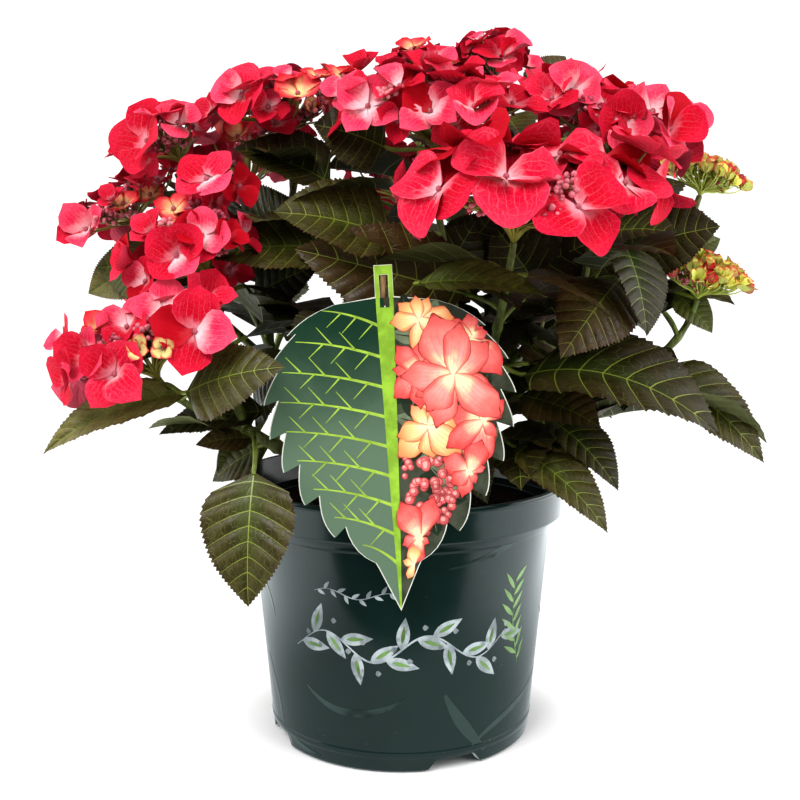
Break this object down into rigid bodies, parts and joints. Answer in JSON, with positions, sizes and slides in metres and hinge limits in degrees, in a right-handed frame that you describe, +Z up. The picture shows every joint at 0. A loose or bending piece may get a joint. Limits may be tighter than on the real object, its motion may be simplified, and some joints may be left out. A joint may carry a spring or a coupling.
{
  "type": "potted hydrangea shrub",
  "caption": "Lacecap hydrangea with red flower heads and dark toothed leaves in a round dark green nursery pot, with a plain leaf-shaped card.",
  "frame": {"origin": "centre of the pot's flat underside, at floor level", "axes": "+Z up; -Y is the front, where the card hangs; +X is the plant's right as seen from the front"},
  "size_m": [0.4863, 0.4325, 0.4883],
  "materials": {
    "pot": "gloss",
    "potting_mix": "matte",
    "card": "gloss",
    "bamboo": "matte",
    "stems": "satin",
    "blooms": "satin",
    "young_blooms": "satin",
    "leaves": "satin"
  },
  "bodies": {
    "root": {"bloom_back": "blooms", "bloom_back_left": "blooms", "bloom_back_low": "blooms", "bloom_back_right": "blooms", "bloom_centre": "blooms", "bloom_crest": "blooms", "bloom_crest_left": "blooms", "bloom_far_left": "blooms", "bloom_front": "blooms", "bloom_front_left": "blooms", "bloom_high_left": "blooms", "bloom_low_left": "blooms", "bloom_upper_left": "blooms", "bloom_upper_right": "blooms", "bloom_young_far_right": "young_blooms", "bloom_young_right": "young_blooms", "cane_back": "stems", "cane_back_left": "stems", "cane_back_right": "stems", "cane_front": "stems", "cane_left": "stems", "cane_right": "stems", "card_cane": "bamboo", "label_card": "card", "leaves_back": "leaves", "leaves_back_left": "leaves", "leaves_back_right": "leaves", "leaves_behind_card": "leaves", "leaves_inner": "leaves", "leaves_left_edge": "leaves", "leaves_low_left": "leaves", "leaves_middle_left": "leaves", "leaves_over_rim_left": "leaves", "leaves_over_rim_right": "leaves", "leaves_right_edge": "leaves", "leaves_right_front": "leaves", "leaves_right_outer": "leaves", "leaves_top_back": "leaves", "leaves_under_front": "leaves", "leaves_upper_left": "leaves", "leaves_upper_middle": "leaves", "pot": "pot", "potting_mix": "potting_mix", "shoot_back": "stems", "shoot_back_left": "stems", "shoot_back_low": "stems", "shoot_back_right": "stems", "shoot_centre": "stems", "shoot_crest": "stems", "shoot_crest_left": "stems", "shoot_far_left": "stems", "shoot_front": "stems", "shoot_front_left": "stems", "shoot_high_left": "stems", "shoot_low_left": "stems", "shoot_upper_left": "stems", "shoot_upper_right": "stems", "shoot_young_far_right": "stems", "shoot_young_right": "stems"}
  },
  "joints": []
}
